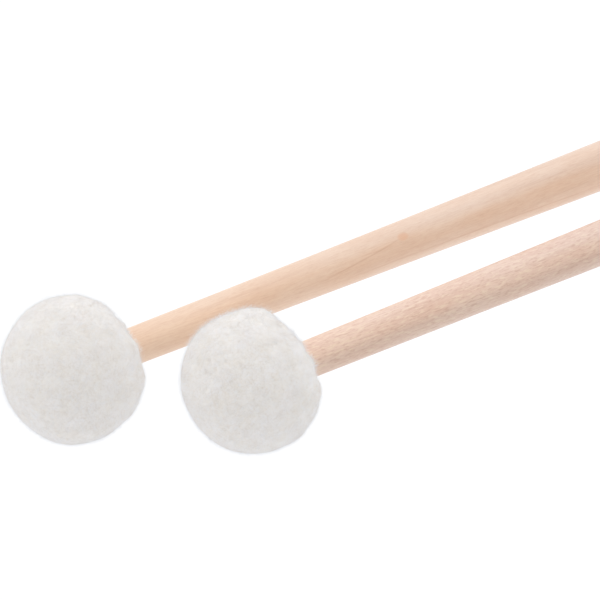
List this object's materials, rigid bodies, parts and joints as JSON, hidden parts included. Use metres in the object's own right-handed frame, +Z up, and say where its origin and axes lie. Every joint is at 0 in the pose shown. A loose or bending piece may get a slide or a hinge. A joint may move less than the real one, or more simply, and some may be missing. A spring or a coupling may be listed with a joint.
{
  "type": "timpani mallets",
  "caption": "Timpani mallets lying side by side: tapered, turned maple handles with round heads of soft white wool felt, gathered and tied at the neck.",
  "frame": {"origin": "middle of the pair's footprint, on the surface that it lies on", "axes": "+Z up; +X along the handles, from the heads to the butts; +Y towards the left mallet, where left and right are as seen from the heads, looking along the handles"},
  "size_m": [0.4124, 0.0814, 0.044],
  "materials": {
    "maple": "sanded and sealed with a thin satin lacquer",
    "core_wood": "turned, unfinished",
    "dense_felt": "dense pressed wool felt",
    "washer_felt": "hard pressed wool felt",
    "soft_felt": "soft, fluffy white wool felt",
    "thread": "waxed linen thread"
  },
  "bodies": {
    "left_mallet": {"left_handle": "maple", "left_core": "core_wood", "left_dense_layer": "dense_felt", "left_back_washer": "washer_felt", "left_felt_cover": "soft_felt", "left_neck_thread": "thread"},
    "right_mallet": {"right_handle": "maple", "right_core": "core_wood", "right_dense_layer": "dense_felt", "right_back_washer": "washer_felt", "right_felt_cover": "soft_felt", "right_neck_thread": "thread"}
  },
  "joints": [
    {"name": "right_mallet_slide", "type": "slide", "parent": "left_mallet", "child": "right_mallet", "axis": [0, -1, 0], "range_m": [0, 0.12]}
  ]
}
